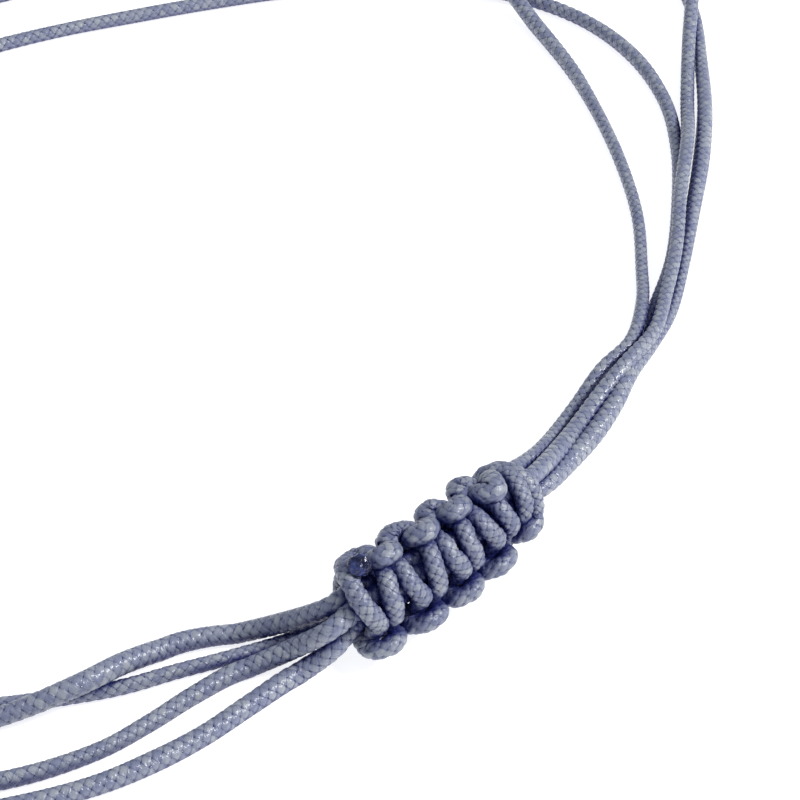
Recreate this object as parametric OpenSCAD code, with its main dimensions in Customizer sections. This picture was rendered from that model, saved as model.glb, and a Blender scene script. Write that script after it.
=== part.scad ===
// Adjustable bracelet of thin braided cord. Two cords each make one turn round the wrist
// and pass twice through a slider, a row of ten square knots tied from a third cord.
// Units are millimetres. The bracelet lies flat, its lowest side at z = 0.

/* [Bracelet cords] */

// Thickness of the two cords that go round the wrist
cord_diameter = 1.0; // [0.8:0.05:1.0]
// Thickness of the same cords where the slider squeezes them
squeezed_diameter = 0.84; // [0.7:0.02:0.86]
// Distance of each squeezed cord from the slider's axis
bundle_radius = 0.64; // [0.62:0.01:0.66]
// Turn of the four cords about each other on their way through the slider
bundle_twist = 180; // [160:5:200]

/* [Slider] */

// Distance from one knot row to the next
row_pitch = 1.38; // [1.38:0.01:1.42]
// Width of the flattened working cord
working_cord_width = 0.62; // [0.5:0.02:0.62]
// Thickness of the flattened working cord, away from the slider's axis
working_cord_height = 0.84; // [0.7:0.02:0.84]
// Distance from the axis of a working cord that crosses the cords
inner_rest = 1.66; // [1.64:0.01:1.7]
// Distance from the axis of a working cord that turns round at the side
outer_rest = 2.54; // [2.52:0.01:2.6]
// How much nearer the axis each row lies than the row before it
row_taper = 0.03; // [0.02:0.005:0.035]
// Direction of the slider's axis at its middle, turned from the x axis
slider_heading = 46; // [44:1:48]
// Roll of the slider's front face from straight up toward the right
slider_roll = 51; // [49:1:53]
// Radius of the slider's slight bend
slider_bend_radius = 34; // [34:1:60]

/* [Melted end] */

// Width of the melted bead on the working cord's end
bead_width = 0.84; // [0.76:0.02:0.84]
// Length of the melted bead
bead_length = 0.56; // [0.5:0.02:0.6]

/* [Hidden] */

ring_sides = 8;
steps_between_points = 2;
cord_radius = cord_diameter / 2;
squeezed_radius = squeezed_diameter / 2;
rows = 10;
middle_row = (rows + 1) / 2;
slider_centre = [20.0, -25.2, 3.07];
bundle_start_row = 1;
bundle_points = 5;
taper_starts_at = 1.2;
seam_gap = 0.02;
upward = [0, 0, 1];

// Angles from the middle of a face at which a crossing leg is given points
leg_angles = [114, 92, 68, 44, 22];
dip_start = 114;
dip_end = 44;
turn_reach = 26;
turn_angles = [36, 72, 108, 144];
leg_shift = 0.25;

// Routes on the table: columns [x, y, z] of the cord's middle line.
// Cord 1 begins with the outer tail at the left.
cord_1_left = [
    [-38.4, -28.8, 0.5],
    [-37.1, -30.7, 0.5],
    [-33.1, -34.9, 0.5],
    [-28.5, -38.3, 0.5],
    [-23.3, -40.8, 0.5],
    [-17.7, -42.1, 0.5],
    [-11.9, -42.4, 0.5],
    [-6.2, -41.8, 0.5],
    [-1.9, -40.9, 0.5],
    [2.0, -39.6, 0.5],
    [5.0, -38.0, 0.5],
    [7.5, -36.2, 0.5],
    [9.8, -34.1, 0.5],
    [12.2, -32.2, 0.6],
    [14.1, -31.3, 1.7]
];
// Cord 1 round the wrist, from the slider's right end back to its left end
cord_1_loop = [
    [24.7, -18.0, 2.8],
    [25.7, -16.1, 2.0],
    [26.7, -13.5, 0.9],
    [28.0, -10.8, 0.5],
    [29.6, -8.5, 1.4],
    [31.5, -6.1, 1.6],
    [32.4, -2.3, 1.4],
    [32.8, 1.8, 0.6],
    [32.8, 7.4, 0.5],
    [32.1, 13.0, 0.5],
    [30.9, 18.5, 0.5],
    [29.3, 23.8, 0.5],
    [27.0, 28.8, 0.8],
    [24.4, 33.4, 1.6],
    [20.6, 37.8, 0.5],
    [15.3, 39.5, 0.5],
    [9.6, 39.6, 0.5],
    [4.1, 38.6, 0.5],
    [-1.2, 36.8, 0.5],
    [-6.3, 34.5, 0.5],
    [-11.2, 31.7, 0.5],
    [-15.9, 28.5, 0.5],
    [-20.2, 24.9, 0.5],
    [-24.2, 20.9, 0.5],
    [-27.6, 16.4, 0.5],
    [-30.4, 11.6, 0.5],
    [-32.6, 6.4, 0.5],
    [-34.2, 1.0, 0.5],
    [-35.1, -4.6, 0.5],
    [-35.2, -10.2, 0.5],
    [-34.5, -15.8, 0.5],
    [-32.8, -21.1, 0.5],
    [-30.1, -26.1, 0.5],
    [-26.5, -30.4, 0.5],
    [-22.0, -33.7, 0.5],
    [-16.9, -36.1, 0.5],
    [-11.3, -36.9, 0.5],
    [-6.3, -36.1, 0.5],
    [-2.5, -35.0, 1.0],
    [0.9, -33.7, 1.7],
    [3.1, -31.7, 1.2],
    [5.5, -29.9, 0.5],
    [8.4, -29.1, 0.5],
    [11.1, -29.2, 1.5],
    [13.7, -29.8, 3.3]
];
// Cord 1 from the slider's right end along the outer tail at the right
cord_1_right = [
    [25.8, -19.3, 2.3],
    [27.2, -16.5, 1.2],
    [28.7, -13.9, 0.8],
    [30.1, -11.3, 0.9],
    [31.4, -8.6, 1.0],
    [32.8, -5.6, 0.8],
    [34.2, -2.1, 0.5],
    [35.6, 2.5, 0.5],
    [36.5, 8.0, 0.5],
    [37.6, 13.4, 0.5],
    [38.1, 19.0, 0.5],
    [38.3, 24.5, 0.5],
    [38.3, 30.1, 0.5],
    [37.4, 35.7, 0.5],
    [36.0, 41.1, 0.5]
];
// Cord 2 begins with the inner tail at the left
cord_2_left = [
    [-37.5, -24.7, 0.5],
    [-34.7, -29.5, 0.5],
    [-30.8, -33.4, 0.5],
    [-26.3, -36.5, 0.5],
    [-21.2, -38.7, 0.5],
    [-15.8, -39.9, 0.5],
    [-10.3, -40.1, 0.5],
    [-5.2, -39.7, 0.5],
    [-1.4, -38.8, 0.5],
    [2.1, -37.2, 0.5],
    [4.5, -35.4, 0.5],
    [6.8, -33.4, 0.5],
    [9.2, -31.7, 0.5],
    [11.8, -31.1, 1.5],
    [13.9, -31.2, 3.1]
];
// Cord 2 round the wrist, from the slider's right end back to its left end
cord_2_loop = [
    [25.3, -18.1, 1.6],
    [26.4, -15.9, 0.6],
    [27.9, -13.3, 0.5],
    [29.3, -10.7, 0.5],
    [30.6, -8.0, 0.5],
    [32.0, -4.9, 0.5],
    [33.4, -1.2, 0.5],
    [34.6, 3.2, 0.5],
    [35.5, 8.7, 0.5],
    [35.9, 14.3, 0.5],
    [35.5, 19.8, 0.5],
    [33.8, 25.0, 0.5],
    [30.6, 29.5, 0.5],
    [26.0, 32.6, 0.5],
    [20.6, 33.9, 0.5],
    [15.0, 34.0, 0.5],
    [9.5, 33.2, 0.5],
    [4.2, 31.8, 0.5],
    [-1.1, 30.1, 0.5],
    [-6.4, 28.2, 0.5],
    [-11.4, 25.9, 0.5],
    [-16.2, 23.1, 0.5],
    [-20.4, 19.5, 0.5],
    [-24.2, 15.4, 0.5],
    [-27.3, 10.8, 0.5],
    [-29.8, 5.9, 0.5],
    [-31.6, 0.6, 0.5],
    [-32.5, -4.9, 0.5],
    [-32.6, -10.4, 0.5],
    [-31.7, -15.9, 0.5],
    [-29.9, -21.1, 0.5],
    [-26.9, -25.8, 0.5],
    [-23.0, -29.7, 0.5],
    [-18.3, -32.7, 0.5],
    [-13.0, -34.3, 0.5],
    [-7.6, -34.7, 0.5],
    [-3.7, -34.2, 0.5],
    [0.1, -33.5, 0.5],
    [3.0, -32.8, 0.5],
    [5.8, -31.7, 0.5],
    [8.6, -30.7, 0.5],
    [11.4, -29.7, 0.6],
    [13.7, -29.3, 1.5]
];
// Cord 2 from the slider's right end along the inner tail at the right
cord_2_right = [
    [25.1, -19.7, 3.5],
    [26.7, -16.4, 2.3],
    [27.9, -13.8, 1.6],
    [29.4, -11.1, 1.7],
    [31.1, -8.6, 2.1],
    [32.9, -5.5, 1.9],
    [33.9, -1.6, 1.5],
    [34.9, 3.1, 1.5],
    [35.6, 8.7, 1.6],
    [36.5, 14.4, 1.5],
    [37.0, 20.0, 0.5],
    [37.5, 25.7, 1.1],
    [38.1, 31.0, 1.7],
    [38.2, 36.7, 1.2],
    [37.9, 42.5, 0.5]
];

// Rounding of a cut end: columns [distance past the end, share of the radius]
cut_end = [[0.2, 0.84], [0.34, 0.45]];

// Knot points: columns [row, distance from the axis, angle about the axis].
// The angle is 0 at the slider's upper side and 90 on its front face.
// Row 9 in front ends with a curl over the upper side, and row 10 closes the slider.
curl_and_row_10 = [
    [9.22, inner_rest, 90],
    [9.36, inner_rest, 68],
    [9.50, inner_rest + 0.1, 42],
    [9.52, inner_rest + 0.5, 22],
    [9.40, outer_rest + 0.02, 2],
    [9.12, outer_rest + 0.05, -9],
    [8.84, outer_rest + 0.02, -20],
    [8.77, outer_rest, -40],
    [8.86, outer_rest, -60],
    [9.16, outer_rest, -76],
    [9.55, outer_rest, -74],
    [9.86, outer_rest, -56],
    [9.98, outer_rest - 0.05, -30],
    [10.0, outer_rest - 0.35, 0],
    [9.98, inner_rest + 0.12, 30],
    [9.92, inner_rest, 56],
    [9.86, inner_rest, 84]
];
// The last lower bar hooks over row 9 and passes to the back
hook_over_row_9 = [
    [9.86, inner_rest + 0.16, 106],
    [9.82, inner_rest + 0.55, 122],
    [9.62, outer_rest, 136],
    [9.30, outer_rest + 0.03, 141],
    [8.95, outer_rest, 144],
    [8.77, outer_rest - 0.1, 158],
    [8.75, outer_rest - 0.3, 180],
    [8.75, inner_rest + 0.15, 206]
];
// Row 9 at the back climbs to the upper side and turns under the curl
back_row_9_end = [
    [8.93, inner_rest, -60],
    [8.95, inner_rest, -38],
    [8.96, inner_rest, -16],
    [8.98, inner_rest + 0.1, 6],
    [9.00, inner_rest + 0.42, 24],
    [8.90, outer_rest, 40],
    [8.62, outer_rest, 52],
    [8.25, outer_rest, 54],
    [7.90, outer_rest, 47]
];
// The working cord's melted end stands up beside row 1
working_end = [
    [1.25, outer_rest - 0.25, 14],
    [1.27, outer_rest + 0.05, 26]
];

// Bead on the melted end: columns [share of the length, share of the width]
bead_profile = [[0, 0.85], [0.2, 1.0], [0.5, 1.0], [0.8, 0.78], [1, 0.4]];

// Small list helpers
function unit(v) = v / norm(v);
function part_of(list, first, last) = [for (i = [first : last]) list[i]];
function turned_round(list) = [for (i = [len(list) - 1 : -1 : 0]) list[i]];
function clamp_index(list, i) = list[max(0, min(len(list) - 1, i))];
function direction(points, i) = unit(clamp_index(points, i + 1) - clamp_index(points, i - 1));

// A curve through all points, with the same number of steps between each two
function curve_point(a, b, c, d, t) =
    0.5 * (2 * b + (c - a) * t + (2 * a - 5 * b + 4 * c - d) * t * t
        + (3 * b - a - 3 * c + d) * t * t * t);
function curve(points, steps) = concat(
    [for (i = [0 : len(points) - 2], s = [0 : steps - 1])
        curve_point(clamp_index(points, i - 1), points[i], points[i + 1],
            clamp_index(points, i + 2), s / steps)],
    [points[len(points) - 1]]);

// Place in space of [row, distance, angle] about the slider's bent axis
function row_heading(row) =
    slider_heading + (row - middle_row) * row_pitch / slider_bend_radius * 180 / PI;
function axis_point(row) = slider_centre + slider_bend_radius * [
    sin(row_heading(row)) - sin(slider_heading),
    cos(slider_heading) - cos(row_heading(row)),
    0];
function rightward(row) = [sin(row_heading(row)), -cos(row_heading(row)), 0];
function front_axis(row) = cos(slider_roll) * upward + sin(slider_roll) * rightward(row);
function side_axis(row) = sin(slider_roll) * upward - cos(slider_roll) * rightward(row);
function outward(p) = cos(p[2]) * side_axis(p[0]) + sin(p[2]) * front_axis(p[0]);
function tapered(p) =
    p[1] + (p[1] > taper_starts_at ? row_taper * (middle_row - p[0]) : 0);
function placed(p) = axis_point(p[0]) + tapered(p) * outward(p);

// One of the four squeezed cords inside the slider, entering at a given angle
function bundle_row(i) =
    bundle_start_row + i * (rows + 1 - 2 * bundle_start_row) / (bundle_points - 1);
function bundle_cord(start_angle) = [
    for (i = [0 : bundle_points - 1])
        let (row = bundle_row(i))
        concat(placed([row, bundle_radius, start_angle + bundle_twist * row / (rows + 1)]),
            squeezed_radius)
];

// A route on the table with the full cord radius as its fourth column
function full_size(route) = [for (p = route) concat(p, cord_radius)];
function cut_end_points(tip, before) = [
    for (e = cut_end) concat(tip + e[0] * unit(tip - before), e[1] * cord_radius)
];

// Knot geometry: the cord dips between its legs and crosses close to the axis
function ease(x) = let (t = max(0, min(1, x))) t * t * (3 - 2 * t);
function rest_at(a) =
    inner_rest + (outer_rest - inner_rest) * ease((a - dip_end) / (dip_start - dip_end));
function face_angle(front, a, side) = front ? 90 - a * side : -90 + a * side;
function leg_row(row, leg, a) = a >= dip_end ? leg : row + (leg - row) * a / dip_end;
function leg(front, row, shifted, side) = [
    for (a = leg_angles) [leg_row(row, shifted, a), rest_at(a), face_angle(front, a, side)]
];
function crossing(front, row, first, last, side) = concat(
    leg(front, row, first, side),
    [[(first + last) / 2, inner_rest, face_angle(front, 0, side)]],
    turned_round(leg(front, row, last, -side)));
function side_turn(front, first, last, side) =
    let (centre = (first + last) / 2)
    [for (t = turn_angles) [
        centre - (centre - first) * cos(t),
        outer_rest,
        face_angle(front, dip_start + turn_reach * sin(t), side)]];
function start_side(row) = row % 2 == 1 ? -1 : 1;

// The front strand of rows 1 to 8, each crossing followed by its turn at the side
front_rows = [
    for (row = [1 : rows - 2])
        each concat(
            crossing(true, row, row + leg_shift, row - leg_shift, start_side(row)),
            side_turn(true, row - leg_shift, row + 1 + leg_shift, -start_side(row)))
];
front_row_9_leg = leg(true, rows - 1, rows - 1 + leg_shift, start_side(rows - 1));
back_row_9 = crossing(false, rows - 1, rows - 1 - leg_shift, rows - 1 + leg_shift,
    start_side(rows - 1));
back_rows = [
    for (row = [rows - 2 : -1 : 2])
        each concat(
            crossing(false, row, row - leg_shift, row + leg_shift, start_side(row)),
            side_turn(false, row + leg_shift, row - 1 - leg_shift, -start_side(row)))
];
back_row_1 = crossing(false, 1, 1 - leg_shift, 1 + leg_shift, start_side(1));
knot_points = concat(
    front_rows,
    front_row_9_leg,
    curl_and_row_10,
    hook_over_row_9,
    part_of(back_row_9, 3, 5),
    back_row_9_end,
    back_rows,
    part_of(back_row_1, 0, 8),
    working_end);

// A closed tube of flattened rings: points, one outward direction and two half sizes a ring
function ring(points, facing, half_widths, half_heights, i) =
    let (
        along = direction(points, i),
        up = unit(facing[i] - (facing[i] * along) * along),
        across = cross(along, up)
    )
    [for (s = [0 : ring_sides - 1])
        let (a = s * 360 / ring_sides)
        points[i] + half_widths[i] * cos(a) * across + half_heights[i] * sin(a) * up];

module tube(points, facing, half_widths, half_heights) {
    last = len(points) - 1;
    shell = [
        for (i = [0 : last])
            each ring(points, facing, half_widths, half_heights, i)
    ];
    walls = [
        for (i = [0 : last - 1], s = [0 : ring_sides - 1])
            let (
                next = (s + 1) % ring_sides,
                low = i * ring_sides,
                high = low + ring_sides
            )
            each [[low + s, low + next, high + next], [low + s, high + next, high + s]]
    ];
    start_cap = [for (s = [ring_sides - 1 : -1 : 0]) s];
    end_cap = [for (s = [0 : ring_sides - 1]) last * ring_sides + s];
    polyhedron(points = shell, faces = concat(walls, [start_cap, end_cap]));
}

// One bracelet cord: tail, slider, once round the wrist, slider, tail
module bracelet_cord(left, loop, right, first_angle, second_angle) {
    route = concat(
        full_size(left),
        bundle_cord(first_angle),
        full_size(loop),
        bundle_cord(second_angle),
        full_size(right));
    last = len(right) - 1;
    line = concat(
        turned_round(cut_end_points(left[0], left[1])),
        curve(route, steps_between_points),
        cut_end_points(right[last], right[last - 1]));
    centres = [for (p = line) [p[0], p[1], max(p[2], p[3])]];
    radii = [for (p = line) p[3]];
    tube(centres, [for (p = line) upward], radii, radii);
}

module cord_1() {
    color([0.42, 0.45, 0.58])
        bracelet_cord(cord_1_left, cord_1_loop, cord_1_right, 180, 360);
}

module cord_2() {
    color([0.42, 0.45, 0.58])
        bracelet_cord(cord_2_left, cord_2_loop, cord_2_right, 90, 270);
}

module slider_cord() {
    color([0.40, 0.43, 0.56])
        tube(
            [for (p = knot_points) placed(p)],
            [for (p = knot_points) outward(p)],
            [for (p = knot_points) working_cord_width / 2],
            [for (p = knot_points) working_cord_height / 2]);
}

// The bead starts on the working cord's end face and continues in its direction
module sealed_end() {
    tip = placed(working_end[1]);
    along = unit(tip - placed(working_end[0]));
    color([0.13, 0.15, 0.25])
        tube(
            [for (b = bead_profile) tip + (seam_gap + b[0] * bead_length) * along],
            [for (b = bead_profile) outward(working_end[1])],
            [for (b = bead_profile) b[1] * bead_width / 2],
            [for (b = bead_profile) b[1] * bead_width / 2]);
}

cord_1();
cord_2();
slider_cord();
sealed_end();
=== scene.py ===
import math
import bmesh
import bpy
import numpy as np
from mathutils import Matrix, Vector, noise


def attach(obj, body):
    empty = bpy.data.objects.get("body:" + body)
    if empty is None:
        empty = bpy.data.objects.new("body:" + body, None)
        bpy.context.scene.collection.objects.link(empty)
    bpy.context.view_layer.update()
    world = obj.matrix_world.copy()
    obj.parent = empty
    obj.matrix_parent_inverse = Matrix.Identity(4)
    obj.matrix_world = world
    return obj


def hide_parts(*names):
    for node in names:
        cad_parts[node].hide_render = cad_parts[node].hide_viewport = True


# Adjustable bracelet: two thin braided cords that go once round the wrist and pass
# twice through a slider of ten square knots. The bracelet's sizes are in millimetres,
# which mm turns into metres, and those of the studio are in metres.

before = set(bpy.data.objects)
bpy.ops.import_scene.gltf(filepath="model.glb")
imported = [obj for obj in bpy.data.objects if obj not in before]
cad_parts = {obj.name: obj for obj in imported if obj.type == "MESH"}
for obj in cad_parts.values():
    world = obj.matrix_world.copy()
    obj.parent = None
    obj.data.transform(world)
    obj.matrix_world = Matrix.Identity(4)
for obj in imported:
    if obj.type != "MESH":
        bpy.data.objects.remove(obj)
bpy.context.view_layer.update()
scene = bpy.context.scene
mm = 0.001


def operator(operation):
    return lambda self, other: self.bench.maths(operation, self, other)


def reflected(operation):
    # for a plain number on the left
    return lambda self, other: self.bench.maths(operation, other, self)


class Wire:
    # one output of a node, which can be added, multiplied and compared like a number
    def __init__(self, bench, socket):
        self.bench, self.socket = bench, socket

    __add__, __radd__ = operator("ADD"), reflected("ADD")
    __sub__, __rsub__ = operator("SUBTRACT"), reflected("SUBTRACT")
    __mul__, __rmul__ = operator("MULTIPLY"), reflected("MULTIPLY")
    __truediv__, __rtruediv__ = operator("DIVIDE"), reflected("DIVIDE")
    __mod__, __rmod__ = operator("MODULO"), reflected("MODULO")
    __pow__, __rpow__ = operator("POWER"), reflected("POWER")
    __gt__, __lt__ = operator("GREATER_THAN"), operator("LESS_THAN")


class Bench:
    # adds nodes to one tree, for a material or for Geometry Nodes
    def __init__(self, tree):
        self.tree = tree

    def feed(self, socket, value):
        if isinstance(value, Wire):
            self.tree.links.new(value.socket, socket)
        else:
            socket.default_value = value

    def node(self, kind, settings=None, sockets=None, out=0):
        # settings come first, because the captured fields of a node give it sockets
        made = self.tree.nodes.new(kind)
        for name, value in (settings or {}).items():
            if name == "captured":
                for field, fieldKind in value.items():
                    made.capture_items.new(fieldKind, field)
            else:
                setattr(made, name, value)
        for name, value in (sockets or {}).items():
            self.feed(made.inputs[name], value)
        return Wire(self, made.outputs[out]) if made.outputs else None

    def outputs(self, wire):
        # every output of the node that a wire comes from, by name
        return {socket.name: Wire(self, socket) for socket in wire.socket.node.outputs}

    def maths(self, operation, *values):
        return self.node("ShaderNodeMath", {"operation": operation}, dict(enumerate(values)))

    def vector(self, operation, a, b=None, scale=None):
        sockets = {0: a}
        if b is not None:
            sockets[1] = b
        if scale is not None:
            sockets["Scale"] = scale
        return self.node("ShaderNodeVectorMath", {"operation": operation}, sockets)

    def split(self, vector):
        return list(self.outputs(self.node("ShaderNodeSeparateXYZ", None, {0: vector})).values())

    def blend(self, share, a, b):
        return self.node("ShaderNodeMix", {"data_type": "RGBA"}, {0: share, 6: a, 7: b}, 2)

    def smooth(self, value, low, high, toLow=0.0, toHigh=1.0):
        return self.node("ShaderNodeMapRange", {"interpolation_type": "SMOOTHSTEP"},
                         {0: value, 1: low, 2: high, 3: toLow, 4: toHigh})


def newMaterial(name):
    # an empty material and the bench for its nodes
    material = bpy.data.materials.new(name)
    material.use_nodes = True
    material.node_tree.nodes.clear()
    return material, Bench(material.node_tree)


photoCamera = {"place": (17.626 * mm, -127.135 * mm, 105.794 * mm), "tiltFromDown": 48, "lens": 119.95,
               "sensor": 36, "nearest": 0.01, "furthest": 10}


def setCamera(values):
    data = bpy.data.cameras.new("photoCamera")
    data.sensor_width, data.lens = values["sensor"], values["lens"]
    data.clip_start, data.clip_end = values["nearest"], values["furthest"]
    camera = bpy.data.objects.new("photoCamera", data)
    camera.location = values["place"]
    camera.rotation_euler = (math.radians(values["tiltFromDown"]), 0, 0)
    scene.collection.objects.link(camera)
    scene.camera = camera


setCamera(photoCamera)
print("camera set")


# Middle lines of the cords in millimetres, close to those in the part's source, and the
# radius where it isn't 0.5
routes = {
    "cord1Left": [
        (-38.4, -28.8, 0.5), (-37.1, -30.7, 0.5), (-33.1, -34.9, 0.5), (-28.5, -38.3, 0.5),
        (-23.3, -40.8, 0.5), (-17.7, -42.1, 0.5), (-11.9, -42.4, 0.5), (-6.2, -41.8, 0.5, 0.53),
        (-1.9, -40.9, 0.5, 0.54), (2, -39.6, 0.5, 0.55), (5, -38, 0.5, 0.59), (7.5, -36.2, 0.5, 0.57),
        (9.8, -34.1, 0.5, 0.58), (12.2, -32, 0.6, 0.6), (14.1, -31.2, 1.7, 0.56)],
    "cord1Loop": [
        (24.7, -18, 2.8), (25.7, -16.2, 2.1), (26.7, -13.8, 1.2), (28, -11.1, 0.8), (29.6, -8.5, 1.4, 0.46),
        (31.5, -6.1, 1.6, 0.46), (32.4, -2.3, 1.4, 0.42), (32.7, 1.8, 0.6, 0.4), (32.8, 7.4, 0.5, 0.4),
        (32.1, 13, 0.5, 0.42), (30.9, 18.5, 0.5, 0.44), (29.3, 23.8, 0.5, 0.51), (27, 28.8, 0.8, 0.56),
        (24.4, 33.4, 1.6, 0.56), (20.6, 37.8, 0.5, 0.54), (15.3, 39.5, 0.5), (9.6, 39.6, 0.5),
        (4.1, 38.6, 0.5), (-1.2, 36.8, 0.5), (-6.3, 34.7, 0.5), (-11.5, 32.3, 0.5), (-16.5, 29.2, 0.5),
        (-20.9, 25.5, 0.5), (-24.7, 21.2, 0.5), (-27.6, 16.4, 0.5), (-30.4, 11.6, 0.5), (-32.6, 6.4, 0.5),
        (-34.2, 1, 0.5), (-35.1, -4.6, 0.5), (-35.2, -10.2, 0.5), (-34.5, -15.8, 0.5), (-32.8, -21.1, 0.5),
        (-30.1, -26.1, 0.5), (-26.5, -30.4, 0.5), (-22, -33.7, 0.5), (-16.9, -36.1, 0.5),
        (-11.3, -36.9, 0.5), (-6.3, -36.1, 0.5), (-2.5, -35, 1, 0.56), (0.9, -33.7, 1.7, 0.6),
        (3.1, -31.7, 1.2, 0.62), (5.5, -29.9, 0.5, 0.61), (8.4, -29.1, 0.5, 0.57),
        (11.1, -29.2, 1.5, 0.58), (13.7, -29.8, 3.3, 0.56)],
    "cord1Right": [
        (25.8, -19.5, 2.5, 0.54), (27.2, -17, 1.9, 0.6), (28.75, -14.4, 1.6, 0.61), (30.1, -11.8, 1.6, 0.57),
        (31.25, -9.1, 1.7, 0.5), (32.7, -6.1, 1.3, 0.44), (34.2, -2.3, 0.7, 0.42), (35.35, 2.5, 0.5, 0.42),
        (36.4, 8, 0.5, 0.5), (37.4, 13.4, 0.5, 0.57), (38.1, 19, 0.5, 0.52), (38.3, 24.5, 0.5, 0.48),
        (38.3, 30.1, 0.5, 0.46), (37.4, 35.7, 0.5), (36, 41.1, 0.5)],
    "cord2Left": [
        (-37.5, -24.7, 0.5), (-34.7, -29.5, 0.5), (-30.8, -33.4, 0.5), (-26.3, -36.5, 0.5),
        (-21.2, -38.7, 0.5), (-15.8, -39.9, 0.5), (-10.3, -40.1, 0.5), (-5.2, -39.7, 0.5),
        (-1.4, -38.8, 0.5, 0.5), (2.1, -37.2, 0.5, 0.47), (4.5, -35.4, 0.5, 0.49), (6.8, -33.4, 0.5, 0.52),
        (9.2, -31.7, 0.5, 0.56), (11.8, -31.1, 1.5, 0.58), (13.9, -31.2, 3.1, 0.56)],
    "cord2Loop": [
        (25.3, -18.1, 1.6), (26.4, -15.9, 0.6), (27.9, -13.3, 0.5), (29.3, -10.7, 0.5),
        (30.6, -8, 0.5, 0.46), (32, -4.9, 0.5, 0.44), (33.4, -1.2, 0.5, 0.42), (34.7, 3.2, 0.5, 0.42),
        (35.5, 8.7, 0.5, 0.44), (35.9, 14.3, 0.5, 0.46), (35.5, 19.8, 0.5, 0.47), (33.8, 25, 0.5, 0.52),
        (30.6, 29.5, 0.5, 0.5), (26, 32.6, 0.5), (20.6, 33.9, 0.5), (15, 34, 0.5), (9.5, 33.2, 0.5),
        (4.2, 31.8, 0.5), (-1.1, 30.1, 0.5, 0.5), (-6.4, 28.2, 0.5, 0.47), (-11.4, 25.9, 0.5),
        (-16.2, 23.1, 0.5), (-20.4, 19.5, 0.5), (-24.2, 15.4, 0.5), (-27.3, 10.8, 0.5), (-29.8, 5.9, 0.5),
        (-31.6, 0.6, 0.5), (-32.5, -4.9, 0.5), (-32.6, -10.4, 0.5), (-31.7, -15.9, 0.5),
        (-29.9, -21.1, 0.5), (-26.9, -25.8, 0.5), (-23, -29.7, 0.5), (-18.3, -32.7, 0.5),
        (-13, -34.3, 0.5), (-7.6, -34.7, 0.5), (-3.7, -34.2, 0.5), (0.1, -33.5, 0.5, 0.46),
        (3, -32.8, 0.5, 0.44), (5.8, -31.7, 0.5, 0.43), (8.6, -30.7, 0.5, 0.43), (11.4, -29.7, 0.6, 0.46),
        (13.7, -29.3, 1.5, 0.5)],
    "cord2Right": [
        (25.1, -19.7, 3.5, 0.54), (26.7, -16.4, 2.3, 0.6), (27.9, -13.8, 1.6, 0.6), (29.4, -11.1, 1.7, 0.56),
        (31.1, -8.6, 2.1, 0.5), (32.9, -5.5, 1.9, 0.44), (33.9, -1.6, 1.5, 0.43), (34.9, 3.1, 1.5, 0.43),
        (35.6, 8.7, 1.6, 0.45), (36.5, 14.4, 1.5, 0.46), (37, 20, 0.5, 0.48), (37.5, 25.7, 1.1, 0.48),
        (38.1, 31, 1.7), (38.2, 36.7, 1.2), (37.9, 42.5, 0.5)]}

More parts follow.
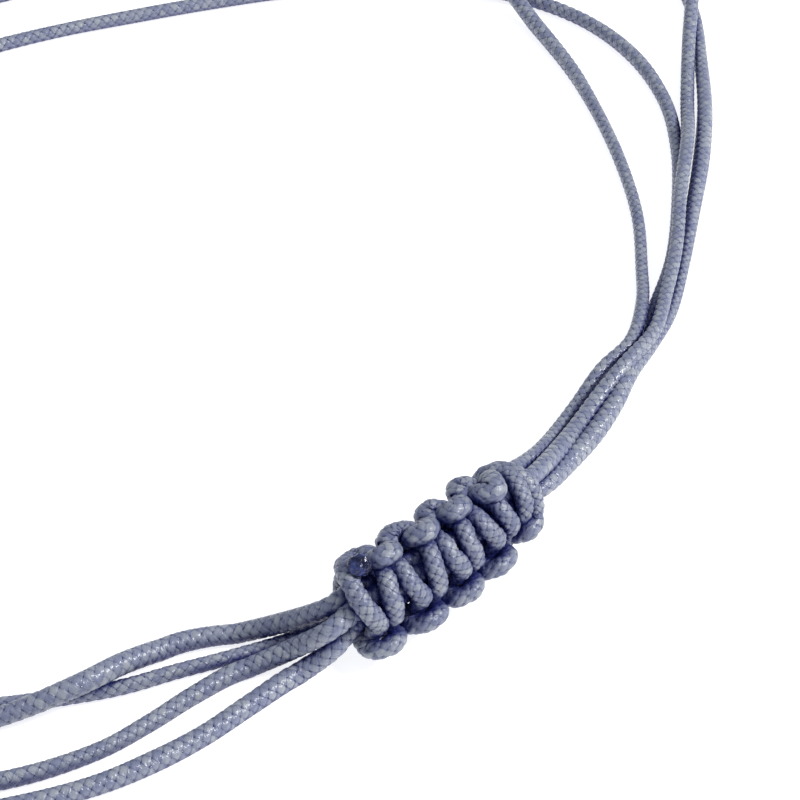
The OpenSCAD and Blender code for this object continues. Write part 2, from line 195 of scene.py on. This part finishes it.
# The slider's rows of square knots on a slightly bent middle line, in millimetres and degrees
knot = {"rowPitch": 1.38, "rows": 10, "innerRest": 1.66, "rowTaper": 0.03, "taperStartsAt": 1.2,
        "heading": 46, "roll": 51, "bendRadius": 34, "centre": (20.0, -25.2, 3.07),
        # the four strands inside: their middles, how far they turn and from which row on
        "bundleRadius": 0.66, "bundleTwist": 165, "twistFrom": 3, "squeezedRadius": 0.66, "squeezedPoints": 6,
        "turnSteps": (0, 36, 72, 108, 144, 180),
        # angle from the middle of the face and distance from the middle line, out to each side,
        # and the angle up to which a leg leans toward its end
        "legs": {"front top": ((22, 1.64), (44, 1.52), (57, 1.44), (70, 1.62)),
                 "front below": ((22, 1.66), (44, 1.66), (58, 1.58), (72, 1.5), (86, 1.7)),
                 "back top": ((22, 1.64), (44, 1.62), (68, 1.55), (90, 1.5), (103, 1.7)),
                 "back below": ((22, 1.64), (44, 1.62), (64, 1.55), (80, 1.8))},
        "leanUpTo": 44,
        # where each kind of turn begins and how far it reaches, then the same for its distance
        "turns": {"front top": (82, 13, 1.95, 0.32), "front below": (98, 14, 2.0, 0.3),
                  "back top": (112, 14, 1.95, 0.3), "back below": (94, 14, 2.3, 0.36)},
        # rows at which each front leg lies at the top, in the middle and below
        "frontLegs": {1: (0.7, 0.74, 1.18), 2: (2.19, 1.88, 1.89), 3: (2.81, 2.85, 3.23),
                      4: (4.4, 4.05, 4.0), 5: (5.0, 4.95, 5.33), 6: (6.21, 5.9, 6.05),
                      7: (6.93, 6.97, 7.34), 8: (8.0, 8.03, 8.25), 9: (9.6, 9.32, 9.1)},
        # middle row and half length of the bar that ends each row of the back strand, last row
        # first, where row 1 has no bar
        "bars": {8: (7.22, 0.52), 7: (6.36, 0.42), 6: (5.28, 0.52), 5: (4.52, 0.42), 4: (3.32, 0.54),
                 3: (2.55, 0.42), 2: (1.34, 0.52), 1: (1.27, 0)},
        "lastBarEnd": 7.72, "turnInset": 0.4, "firstBackRow": 1.32,
        # points of the curls and of the free end: row, distance from the middle line, angle
        "firstCurl": [
            (0.66, 1.66, 68), (0.68, 1.76, 50), (0.78, 1.9, 32), (1.0, 2.0, 14), (1.32, 2.06, -2),
            (1.7, 2.1, -11), (2.04, 2.08, -10), (2.24, 2.0, 3)],
        "lastCurl": [
            (9.3, 1.66, 90), (9.46, 1.64, 64), (9.58, 1.6, 46), (9.62, 1.6, 30), (9.55, 1.66, 16),
            (9.44, 1.74, 4), (9.38, 1.78, -8), (9.36, 1.78, -22), (9.36, 1.78, -40), (9.36, 1.78, -58),
            (9.42, 1.78, -72), (9.56, 1.72, -66), (9.66, 1.66, -46), (9.74, 1.62, -22), (9.82, 1.58, 2),
            (9.86, 1.56, 30), (9.88, 1.56, 58), (9.88, 1.58, 86), (9.9, 1.62, 112), (9.84, 1.76, 134),
            (9.7, 1.98, 148), (9.46, 2.24, 154), (9.2, 2.34, 154), (8.96, 2.34, 156), (8.8, 2.16, 168),
            (8.74, 1.9, 184), (8.75, 1.64, 206), (8.82, 1.62, 230), (8.98, 1.64, 250), (9.16, 1.66, 270),
            (9.22, 1.64, 300), (9.22, 1.54, 326), (9.16, 1.46, 350), (8.98, 1.64, 368), (8.74, 1.96, 386),
            (8.42, 2.2, 402), (8.1, 2.24, 411), (7.84, 2.12, 404), (7.74, 1.9, 388)],
        "freeEnd": [(1.4, 1.95, 17), (1.36, 2.15, 27), (1.24, 2.46, 35)]}


def throughPoints(points, steps):
    # a smooth line through all the points, with the same number of steps between each two
    p = np.array(points, float)
    p = np.vstack([p[:1], p, p[-1:]])
    a, b, c, d = p[:-3], p[1:-2], p[2:-1], p[3:]
    t = (np.arange(steps) / steps)[None, :, None]
    a, b, c, d = (x[:, None, :] for x in (a, b, c, d))
    line = 0.5 * (2 * b + (c - a) * t + (2 * a - 5 * b + 4 * c - d) * t ** 2
                  + (3 * b - a - 3 * c + d) * t ** 3)
    return np.vstack([line.reshape(-1, p.shape[1]), p[-1:]])


def sliderFrame(row):
    # middle of the slider at a row, and its two directions: to the front and to the upper side
    middle = (knot["rows"] + 1) / 2
    heading = math.radians(knot["heading"])
    turned = heading + (row - middle) * knot["rowPitch"] / knot["bendRadius"]
    place = np.array(knot["centre"]) + knot["bendRadius"] * np.array([
        math.sin(turned) - math.sin(heading), math.cos(heading) - math.cos(turned), 0])
    right, up = np.array([math.sin(turned), -math.cos(turned), 0]), np.array([0, 0, 1])
    roll = math.radians(knot["roll"])
    front = math.cos(roll) * up + math.sin(roll) * right
    upper = math.sin(roll) * up - math.cos(roll) * right
    return place, front, upper


def outward(point):
    # direction from the slider's middle line to a point given as row, distance and angle
    front, side = sliderFrame(point[0])[1:]
    angle = math.radians(point[2])
    return math.cos(angle) * side + math.sin(angle) * front


def placed(point):
    # a point given as row, distance from the slider's middle line and angle about it
    row, distance, _ = point
    if distance > knot["taperStartsAt"]:
        distance += knot["rowTaper"] * ((knot["rows"] + 1) / 2 - row)
    return sliderFrame(row)[0] + distance * outward(point)


def squeezedPoints(startAngle):
    # one of the four strands inside the slider, as x, y, z and radius
    rows, begins = knot["rows"], knot["twistFrom"]
    points = []
    for row in np.linspace(1, rows, knot["squeezedPoints"]):
        turn = knot["bundleTwist"] * max(0, row - begins) / (rows - begins)
        place = placed((row, knot["bundleRadius"], startAngle + turn))
        points.append(tuple(place) + (knot["squeezedRadius"],))
    return points


def knotPoints():
    # the working cord through all ten square knots, pressed together as in the photograph
    def kindOf(face, side):
        return face + (" top" if side > 0 else " below")

    def angleOn(face, angle, side):
        # angle about the middle line, for an angle from the middle of the front or back face
        return 90 - angle * side if face == "front" else angle * side - 90

    def turn(face, side, first, last):
        # one turn at the top (side 1) or below (side -1): out, round the other strand and back
        begin, reach, low, rise = knot["turns"][kindOf(face, side)]
        if face == "front" and side > 0:
            first += knot["turnInset"]
        middle = (first + last) / 2
        return [(middle - (middle - first) * math.cos(t), low + rise * math.sin(t),
                 angleOn(face, begin + reach * math.sin(t), side)) for t in np.radians(knot["turnSteps"])]

    def half(face, side, middle, end):
        # a leg from the middle of its face to one side
        return [(middle + (end - middle) * min(1, a / knot["leanUpTo"]), distance, angleOn(face, a, side))
                for a, distance in knot["legs"][kindOf(face, side)]]

    legs = knot["frontLegs"]
    lastRow = max(legs)
    points = []
    for row in range(1, lastRow):
        top, middle, low = legs[row]
        upward = half("front", -1, middle, low)[::-1] + [(middle, knot["innerRest"], 90)]
        if row == 1:
            points += upward + knot["firstCurl"]
            continue
        line = upward + half("front", 1, middle, top)
        if row % 2:
            points += line + turn("front", 1, top, legs[row + 1][0])
        else:
            points += line[::-1] + turn("front", -1, low, legs[row + 1][2])
    points += half("front", -1, *legs[lastRow][1:])[::-1] + knot["lastCurl"]
    end, back = knot["lastBarEnd"], []
    for row, (bar, size) in knot["bars"].items():
        side = -1 if row % 2 else 1  # the side where this row starts
        across = max(row, knot["firstBackRow"])
        back += half("back", side, across, end)[::-1] + [(across, knot["innerRest"], -90)]
        back += half("back", -side, across, bar + size)
        if size:
            back += turn("back", -side, bar + size, bar - size)
            end = bar - size
    return points + [(row, distance, angle + 360) for row, distance, angle in back + knot["freeEnd"]]


def braidSurface(bench, lengthwise, across):
    # Two families of yarns that pass over and under each other, where lengthwise counts
    # pitches along the cord and across counts columns round it. Gives the height, the place
    # across the yarn on top, the place along it and its number.
    wave = 0.5  # share of the height that goes up and down along a yarn
    half = 0.44  # half of a yarn's width
    steep = 8  # how fast the gaps between yarns fall

    def family(own, other, sign):
        nearest = bench.maths("ROUND", own)
        offset = (own - nearest) / half
        crest = bench.maths("SQRT", bench.maths("MAXIMUM", 1 - offset ** 6, 0))
        lost = bench.maths("MAXIMUM", bench.maths("ABSOLUTE", offset) - 1, 0) * steep
        bend = bench.maths("COSINE", (other - nearest) * math.pi)
        flatter = bend * (1.5 - bend * bend * 0.5)  # the wave with broader tops
        return crest * (1 - wave) + flatter * (sign * wave) - lost, offset, nearest

    slant = (across - 0.5) / 2
    first, second = lengthwise - slant, lengthwise + slant
    a, b = family(first, second, -1), family(second, first, 1)
    onTop = b[0] > a[0]
    height, offset, nearest = (x + (y - x) * onTop for x, y in zip(a, b))
    run = second + (first - second) * onTop
    return height, offset, run, nearest + onTop * 0.5


def makeBraidTree():
    # Geometry Nodes: a line becomes a cord braided of a few columns of crossing yarns
    tree = bpy.data.node_groups.new("braidedCord", "GeometryNodeTree")
    face = tree.interface
    face.new_socket("Geometry", in_out="INPUT", socket_type="NodeSocketGeometry")
    face.new_socket("Geometry", in_out="OUTPUT", socket_type="NodeSocketGeometry")
    for name, kind in (("Rings", "Int"), ("Steps", "Int"), ("Columns", "Int"), ("Per column", "Int"),
                       ("Pitch", "Float"), ("Relief", "Float"), ("Finish", "Material")):
        face.new_socket(name, in_out="INPUT", socket_type="NodeSocket" + kind)
    bench = Bench(tree)
    node = bench.node
    asked = bench.outputs(node("NodeGroupInput"))
    steps, columns, perColumn, pitch = (asked[n] for n in ("Steps", "Columns", "Per column", "Pitch"))

    def named(name, kind="FLOAT"):
        return node("GeometryNodeInputNamedAttribute", {"data_type": kind}, {"Name": name}, "Attribute")

    def keep(geometry, kinds, **fields):
        # values of a line that the tube's points still know
        kept = node("GeometryNodeCaptureAttribute", {"captured": kinds}, {"Geometry": geometry, **fields})
        found = bench.outputs(kept)
        return [kept] + [found[name] for name in kinds]

    def moved(point, direction, distance):
        return bench.vector("ADD", point, bench.vector("SCALE", direction, scale=distance))

    curve = node("GeometryNodeMeshToCurve", None, {"Mesh": asked["Geometry"]})
    curve = node("GeometryNodeResampleCurve", {"mode": "COUNT"}, {"Curve": curve, "Count": asked["Rings"]})
    index = node("GeometryNodeInputIndex")
    curve, middle, along, ring = keep(
        curve, {"middle": "VECTOR", "along": "VECTOR", "ring": "FLOAT"},
        middle=node("GeometryNodeInputPosition"), along=node("GeometryNodeInputTangent"), ring=index)
    around = columns * perColumn
    anyRadius = 0.1 * mm  # the points get their real places below
    profile = node("GeometryNodeCurvePrimitiveCircle", {"mode": "RADIUS"},
                   {"Resolution": around, "Radius": anyRadius}, "Curve")
    profile, spoke = keep(profile, {"spoke": "FLOAT"}, spoke=index)
    tube = node("GeometryNodeCurveToMesh", None,
                {"Curve": curve, "Profile Curve": profile, "Fill Caps": True})
    tube = node("GeometryNodeFlipFaces", None, {"Mesh": tube})  # the places below turn it inside out

    # where on the braid each point lies
    across = spoke / perColumn
    zigzag = bench.maths("ABSOLUTE", bench.maths("FRACT", across / 2) * 2 - 1) / 2 - 0.25
    lengthwise = ring / steps + zigzag
    height = braidSurface(bench, lengthwise, across)[0]
    angle = across / columns * 2 * math.pi

    # the place of each point about the line
    wide, high, braided = named("halfWidth"), named("halfHeight"), named("braided")
    side = bench.vector("NORMALIZE", bench.vector("CROSS_PRODUCT", along, named("lift", "FLOAT_VECTOR")))
    up = bench.vector("CROSS_PRODUCT", side, along)
    lowest = -0.1  # the gaps between yarns go no deeper in the shape
    drop = (1 - bench.maths("MAXIMUM", height, lowest)) * asked["Relief"] * braided
    point = moved(middle, side, bench.maths("COSINE", angle) * (wide - drop))
    point = moved(point, up, bench.maths("SINE", angle) * (high - drop))
    point = moved(point, along, zigzag * pitch * braided)
    tube = node("GeometryNodeSetPosition", None, {"Geometry": tube, "Position": point})

    # each face corner gets its place on the braid as a UV
    firstSpoke = index % around
    faceSpoke = node("GeometryNodeFieldOnDomain", {"data_type": "FLOAT", "domain": "FACE"},
                     {"Value": firstSpoke})
    beyond = (spoke - faceSpoke + around) % around
    uv = node("ShaderNodeCombineXYZ", None, {0: lengthwise, 1: (faceSpoke + beyond) / perColumn})
    tube = node("GeometryNodeStoreNamedAttribute", {"data_type": "FLOAT2", "domain": "CORNER"},
                {"Geometry": tube, "Name": "braidPlace", "Value": uv})
    for old in ("lift", "halfWidth", "halfHeight"):
        tube = node("GeometryNodeRemoveAttribute", None, {"Geometry": tube, "Name": old})
    tube = node("GeometryNodeSetShadeSmooth", {"domain": "FACE"}, {"Geometry": tube})
    tube = node("GeometryNodeRealizeInstances", None, {"Geometry": tube})
    tube = node("GeometryNodeSetMaterial", None, {"Geometry": tube, "Material": asked["Finish"]})
    node("NodeGroupOutput", None, {"Geometry": tube})
    return tree


braidTree = makeBraidTree()
print("braid tree built")


def braidAlong(name, line, lifts, widths, heights, braided, values, finish):
    # a braided cord along a line of points
    mesh = bpy.data.meshes.new(name + "Line")
    mesh.from_pydata([tuple(p * mm) for p in line], [(i, i + 1) for i in range(len(line) - 1)], [])
    known = (("lift", "FLOAT_VECTOR", "vector", lifts), ("halfWidth", "FLOAT", "value", widths * mm),
             ("halfHeight", "FLOAT", "value", heights * mm), ("braided", "FLOAT", "value", braided))
    for label, kind, field, numbers in known:
        attribute = mesh.attributes.new(label, kind, "POINT")
        attribute.data.foreach_set(field, np.asarray(numbers, np.float32).ravel())
    guide = bpy.data.objects.new(name + "Guide", mesh)
    scene.collection.objects.link(guide)
    length = float(np.linalg.norm(np.diff(line, axis=0), axis=1).sum()) * mm
    rings = int(round(length / values["pitch"])) * values["steps"] + 1
    modifier = guide.modifiers.new("braid", "NODES")
    modifier.node_group = braidTree
    asked = {"Rings": rings, "Steps": values["steps"], "Columns": values["columns"],
             "Per column": values["perColumn"], "Pitch": values["pitch"], "Relief": values["relief"],
             "Finish": finish}
    for item in braidTree.interface.items_tree:
        if item.item_type == "SOCKET" and item.in_out == "INPUT" and item.name in asked:
            modifier[item.identifier] = asked[item.name]
    plain = bpy.data.meshes.new_from_object(guide.evaluated_get(bpy.context.evaluated_depsgraph_get()))
    bpy.data.objects.remove(guide)
    plain.name = name
    piece = bpy.data.objects.new(name, plain)
    scene.collection.objects.link(piece)
    return piece, length


cordFinishValues = {
    # colours of the yarns, of the painted shade in the gaps between them and of the painted shadow in the
    # deep places between strands
    "light": (0.35, 0.368, 0.4, 1), "dark": (0.18, 0.198, 0.3, 1),
    "paintedGapShade": (0.035, 0.05, 0.16, 1), "paintedShadow": (0.012, 0.018, 0.14, 1),
    # how far the yarns wander off an even braid
    "wobble": 0.2, "wobbleScale": 1900.0,
    # what makes a place light: its yarn's own tone, the fibres, the patch of cord, and its height, which
    # makes the yarns' crests lighter, partly as wear and partly as a painted highlight
    "toneShare": 0.7, "fibreShare": 0.8, "patchShare": 0.35, "crestWearAndHighlightShare": 0.4,
    "litFrom": 0.8, "litTo": 1.85, "patchScale": 220.0,
    # how strong the painted shade in the gaps between yarns is, least and most, and the heights between which
    # it fades
    "gapShare": (0.0, 0.6), "gapFrom": 0.25, "gapTo": 0.75, "gapPatch": (0.42, 0.64),
    # how open a place is (ambient occlusion) where the painted shadow colour is full and where it ends
    "openFrom": 0.28, "openTo": 0.86, "reach": 1.6 * mm, "ownOnly": False,
    # bumps of the fibres, of the yarns and of small wrinkles
    "bumpHeight": 0.07 * mm, "bumpStrength": 0.8, "fibreBump": 0.4, "yarnBump": 0.7, "wrinkleBump": 0.5,
    "wrinkleScale": 1500.0, "roughness": 0.15, "fibreRoughness": 0.25, "specular": 0.7}
sliderFinishValues = {
    **cordFinishValues, "light": (0.33, 0.346, 0.38, 1), "dark": (0.13, 0.147, 0.245, 1),
    "paintedShadow": (0.014, 0.022, 0.15, 1), "wobble": 0.26, "gapShare": (0.08, 0.42), "gapTo": 0.7,
    "openFrom": 0.32, "openTo": 0.98, "reach": 2.1 * mm, "ownOnly": True, "wrinkleBump": 1.3,
    "roughness": 0.24}


def makeCordFinish(name, values):
    material, bench = newMaterial(name)
    node = bench.node

    def noiseAt(vector, scale, detail, out="Fac", **more):
        return node("ShaderNodeTexNoise", None,
                    {"Vector": vector, "Scale": scale, "Detail": detail, **more}, out)

    def placeOf(x, y, z):
        return node("ShaderNodeCombineXYZ", None, {0: x, 1: y, 2: z})

    lengthwise, across, _ = bench.split(node("ShaderNodeUVMap", {"uv_map": "braidPlace"}))
    place = node("ShaderNodeTexCoord", None, None, "Object")
    drift = bench.split(noiseAt(place, values["wobbleScale"], 1.0, "Color"))
    height, offset, run, number = braidSurface(
        bench, lengthwise + (drift[0] - 0.5) * values["wobble"] * 2,
        across + (drift[1] - 0.5) * values["wobble"] * 4)

    # each yarn has its own tone wherever it comes to the top, and fibres along it, where the
    # factors only stretch and shift the noise
    which = placeOf(number * 1.7, bench.maths("ROUND", run) * 3.1, 0.5)
    tone = node("ShaderNodeTexWhiteNoise", {"noise_dimensions": "3D"}, {"Vector": which}, "Value")
    fibre = noiseAt(placeOf(run * 0.7, offset * 1.9 + number * 9, 0.3), 1.5, 3.0, Roughness=0.65)
    patch = noiseAt(place, values["patchScale"], 2.0)
    # the height share is partly wear and partly a painted highlight on the yarns' crests
    lightness = (tone * values["toneShare"] + fibre * values["fibreShare"]
                 + patch * values["patchShare"] + height * values["crestWearAndHighlightShare"])
    yarn = bench.blend(bench.smooth(lightness, values["litFrom"], values["litTo"]),
                       values["dark"], values["light"])

    # some stretches of some columns are opened more than others, with stronger painted shade in their gaps
    opened = noiseAt(placeOf(lengthwise * 0.05 + patch * 2, across * 0.8, 0.7), 1.0, 1.0)
    gapShare = bench.smooth(opened, *values["gapPatch"], *values["gapShare"])
    # painted shade: the low places between the yarns darken to a navy
    paintedGapShade = bench.smooth(height, values["gapFrom"], values["gapTo"], 1, 0) * gapShare
    colour = bench.blend(paintedGapShade, yarn, values["paintedGapShade"])
    # painted shadow: the base colour darkens to a navy where ambient occlusion finds surfaces near, as
    # between strands and on undersides
    openness = node("ShaderNodeAmbientOcclusion", {"samples": 6, "only_local": values["ownOnly"]},
                    {"Distance": values["reach"]}, "AO")
    colour = bench.blend(bench.smooth(openness, values["openFrom"], values["openTo"]),
                         values["paintedShadow"], colour)

    wrinkle = noiseAt(place, values["wrinkleScale"], 2.0)
    bumps = fibre * values["fibreBump"] + height * values["yarnBump"] + wrinkle * values["wrinkleBump"]
    bump = node("ShaderNodeBump", {"invert": True}, {  # sunk, which softens the yarns' own relief
        "Strength": values["bumpStrength"], "Distance": values["bumpHeight"], "Height": bumps})
    shader = node("ShaderNodeBsdfPrincipled", None, {
        "Base Color": colour, "Roughness": fibre * values["fibreRoughness"] + values["roughness"],
        "Specular IOR Level": values["specular"], "Normal": bump})
    node("ShaderNodeOutputMaterial", None, {"Surface": shader})
    return material


cordFinish = makeCordFinish("slateNylonCord", cordFinishValues)
sliderFinish = makeCordFinish("slateNylonWorkingCord", sliderFinishValues)

braceletCord = {
    "radius": 0.5, "pitch": 0.62 * mm, "columns": 8, "perColumn": 4, "steps": 8, "relief": 0.12 * mm,
    "between": 8,  # steps from one point of a route to the next
    # degrees that the braid turns in a millimetre, and how it sways on the way
    "twist": 1.2, "sway": 14, "swayLength": 9,
    # a sealed tip is plain, then the braid grows, and the tip closes at these distances
    # past the route with these shares of the radius
    "plainTip": 0.15, "braidGrows": 0.5,
    "tip": ((0.1, 0.98), (0.2, 0.9), (0.3, 0.74), (0.37, 0.52), (0.41, 0.2)),
    "pieceEnds": 2}  # point inside the slider at which two pieces of a cord meet
cords = {
    "cord1": {"node": "cord_1", "angles": (180, 360), "turn": 20},
    "cord2": {"node": "cord_2", "angles": (90, 270), "turn": 65}}


def directions(line):
    ahead = np.gradient(line, axis=0)
    return ahead / np.linalg.norm(ahead, axis=1)[:, None]


def cordPiece(name, line, turn, tailed, values):
    # line has the columns x, y, z and radius
    points, radius = line[:, :3], line[:, 3]
    braided = np.ones(len(line))
    if tailed:
        tip, ahead = points[-1], directions(points)[-1]
        fall = np.linalg.norm(points - tip, axis=1)
        braided = np.clip((fall - values["plainTip"]) / values["braidGrows"], 0, 1)
        points = np.vstack([points, [tip + past * ahead for past, _ in values["tip"]]])
        radius = np.append(radius, [radius[-1] * share for _, share in values["tip"]])
        braided = np.append(braided, np.zeros(len(values["tip"])))
    ahead = directions(points)
    side = np.cross(ahead, (0, 0, 1))
    side /= np.linalg.norm(side, axis=1)[:, None]
    up = np.cross(side, ahead)
    run = np.append(0, np.cumsum(np.linalg.norm(np.diff(points, axis=0), axis=1)))
    sway = values["sway"] * np.sin(run / values["swayLength"])
    angle = np.radians(turn + values["twist"] * run + sway)
    lifts = np.cos(angle)[:, None] * up + np.sin(angle)[:, None] * side
    return braidAlong(name, points, lifts, radius, radius, braided, values, cordFinish) + (points,)


def makeCord(name, values):
    left, loop, right = ([(p + (braceletCord["radius"],))[:4] for p in routes[name + part]]
                         for part in ("Left", "Loop", "Right"))
    first, second = (squeezedPoints(angle) for angle in values["angles"])
    between, meet = braceletCord["between"], braceletCord["pieceEnds"]
    line = throughPoints(left + first + loop + second + right, between)
    line[:, 2] = np.maximum(line[:, 2], line[:, 3])  # nothing sinks into the floor
    firstCut = (len(left) + meet) * between
    secondCut = (len(left) + len(first) + len(loop) + meet) * between
    parts = {"LeftTail": (line[:firstCut + 1][::-1], True), "Loop": (line[firstCut:secondCut + 1], False),
             "RightTail": (line[secondCut:], True)}
    for part, (piece, tailed) in parts.items():
        made, length, path = cordPiece(name + part, piece, values["turn"], tailed, braceletCord)
        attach(made, "root")
        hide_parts(values["node"])
        [tuple(p * mm) for p in path]
        print(name + part, round(length * 1000, 1), "mm", len(made.data.polygons), "faces")


for cordName, cordValues in cords.items():
    makeCord(cordName, cordValues)
print("cords made")

workingCord = {
    "halfWidth": 0.62, "halfHeight": 0.5, "between": 8,
    "pitch": 0.45 * mm, "columns": 10, "perColumn": 4, "steps": 6, "relief": 0.12 * mm,
    # fullness of a leg at its pressed distance, of a bar lifted further off, and at least at the
    # back, between two angles about the middle line
    "leg": 0.87, "bar": 1.1, "back": 0.98, "pressed": 1.5, "lift": 0.7, "backFrom": 190, "backTo": 340,
    "waves": ((0.04, 0.43, 0), (0.03, 0.17, 1))}  # slight unevenness: amount, rate and start


def makeSlider(values):
    def fullness(distance, angle):
        lifted = min(1, max(0, (distance - values["pressed"]) / values["lift"]))
        full = values["leg"] + (values["bar"] - values["leg"]) * lifted
        return max(full, values["back"]) if values["backFrom"] < angle < values["backTo"] else full

    line = throughPoints([tuple(placed(p)) + tuple(outward(p)) + (fullness(p[1], p[2]),)
                          for p in knotPoints()], values["between"])
    step = np.arange(len(line))
    uneven = sum(amount * np.sin(step * rate + start) for amount, rate, start in values["waves"])
    size = line[:, 6] * (1 + uneven)
    piece, length = braidAlong("slider", line[:, :3], line[:, 3:6], values["halfWidth"] * size,
                               values["halfHeight"] * size, np.ones(len(line)), values, sliderFinish)
    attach(piece, "root")
    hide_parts("slider_cord")
    print("slider", round(length * 1000, 1), "mm", len(piece.data.polygons), "faces")


makeSlider(workingCord)

meltedEnd = {
    # half width, half thickness, how far its middle lies past the cord's end, and its lumps
    "radius": 0.63, "thickness": 0.4, "past": 0.28, "lumps": 0.14, "lumpRate": 2.3,
    "fineLumps": 0.35, "fineRate": 6, "smoothness": 5,
    "dark": (0.002, 0.004, 0.035, 1), "light": (0.05, 0.07, 0.24, 1), "cloudScale": 1900.0,
    "lightFrom": 0.42, "lightTo": 0.72, "blobScale": 3000.0, "blobShare": 0.6, "bumpHeight": 0.2 * mm,
    "roughness": 0.04, "cloudRoughness": 0.1, "specular": 0.5}


def makeMeltedFinish(values):
    material, bench = newMaterial("meltedNylon")
    node = bench.node
    place = node("ShaderNodeTexCoord", None, None, "Object")
    cloud = node("ShaderNodeTexNoise", None,
                 {"Vector": place, "Scale": values["cloudScale"], "Detail": 3.0}, "Fac")
    colour = bench.blend(bench.smooth(cloud, values["lightFrom"], values["lightTo"]),
                         values["dark"], values["light"])
    blob = node("ShaderNodeTexVoronoi", None, {"Vector": place, "Scale": values["blobScale"]}, "Distance")
    bump = node("ShaderNodeBump", None, {"Strength": 1.0, "Distance": values["bumpHeight"],
                                         "Height": cloud + blob * values["blobShare"]})
    shader = node("ShaderNodeBsdfPrincipled", None, {
        "Base Color": colour, "Roughness": values["roughness"] + cloud * values["cloudRoughness"],
        "Specular IOR Level": values["specular"], "Normal": bump})
    node("ShaderNodeOutputMaterial", None, {"Surface": shader})
    return material


def makeMeltedEnd(values):
    before, tip = (placed(point) for point in knot["freeEnd"][-2:])
    ahead = Vector(tip - before).normalized()
    turn = ahead.to_track_quat("Z", "Y")
    radius, lumps = values["radius"], values["lumps"]
    shape = bmesh.new()
    bmesh.ops.create_icosphere(shape, subdivisions=values["smoothness"], radius=1)
    for v in shape.verts:
        lump = (noise.noise(v.co * values["lumpRate"]) * lumps
                + noise.noise(v.co * values["fineRate"]) * lumps * values["fineLumps"])
        flat = Vector((v.co.x * radius, v.co.y * radius, v.co.z * values["thickness"])) * (1 + lump)
        v.co = (turn @ flat + Vector(tip) + ahead * values["past"]) * mm
    mesh = bpy.data.meshes.new("meltedEnd")
    shape.to_mesh(mesh)
    shape.free()
    mesh.shade_smooth()
    mesh.materials.append(makeMeltedFinish(values))
    piece = bpy.data.objects.new("meltedEnd", mesh)
    scene.collection.objects.link(piece)
    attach(piece, "root")
    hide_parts("sealed_end")


makeMeltedEnd(meltedEnd)
print("slider and melted end made")

studio = {
    "floorReach": 3.0, "floor": (0.5, 0.505, 0.52, 1), "grain": (0.53, 0.53, 0.54, 1), "grainScale": 30.0,
    "floorRoughness": 0.9, "glow": 0.82, "sky": (0.8, 0.87, 1.0, 1), "skyStrength": 0.5,
    "aim": (0.02, -0.02, 0),
    # each light's place, size and power
    "lights": {"topLight": ((0.05, -0.02, 0.6), 0.5, 0.4), "sideLight": ((0.5, -0.04, 0.44), 0.11, 3.2)}}


def makeFloor(values):
    mesh = bpy.data.meshes.new("paleFloor")
    reach = values["floorReach"]
    corners = [(-reach, -reach, 0), (reach, -reach, 0), (reach, reach, 0), (-reach, reach, 0)]
    mesh.from_pydata(corners, [], [(0, 1, 2, 3)])
    floor = bpy.data.objects.new("paleFloor", mesh)
    scene.collection.objects.link(floor)
    material, bench = newMaterial("palePaper")
    place = bench.node("ShaderNodeTexCoord", None, None, "Object")
    grain = bench.node("ShaderNodeTexNoise", None, {"Vector": place, "Scale": values["grainScale"]}, "Fac")
    shader = bench.node("ShaderNodeBsdfPrincipled", None, {
        "Base Color": bench.blend(grain, values["floor"], values["grain"]),
        "Roughness": values["floorRoughness"], "Emission Color": (1, 1, 1, 1),
        "Emission Strength": values["glow"]})
    bench.node("ShaderNodeOutputMaterial", None, {"Surface": shader})
    mesh.materials.append(material)


def makeLights(values):
    world = bpy.data.worlds.new("studio")
    scene.world = world
    world.use_nodes = True
    sky = world.node_tree.nodes["Background"]
    sky.inputs["Color"].default_value = values["sky"]
    sky.inputs["Strength"].default_value = values["skyStrength"]
    for name, (place, size, power) in values["lights"].items():
        light = bpy.data.lights.new(name, "AREA")
        light.shape, light.size, light.energy = "SQUARE", size, power
        lamp = bpy.data.objects.new(name, light)
        lamp.location = place
        lamp.rotation_euler = (Vector(values["aim"]) - Vector(place)).to_track_quat("-Z", "Y").to_euler()
        scene.collection.objects.link(lamp)
    scene.view_settings.view_transform = "Standard"


makeFloor(studio)
makeLights(studio)
print("studio made")
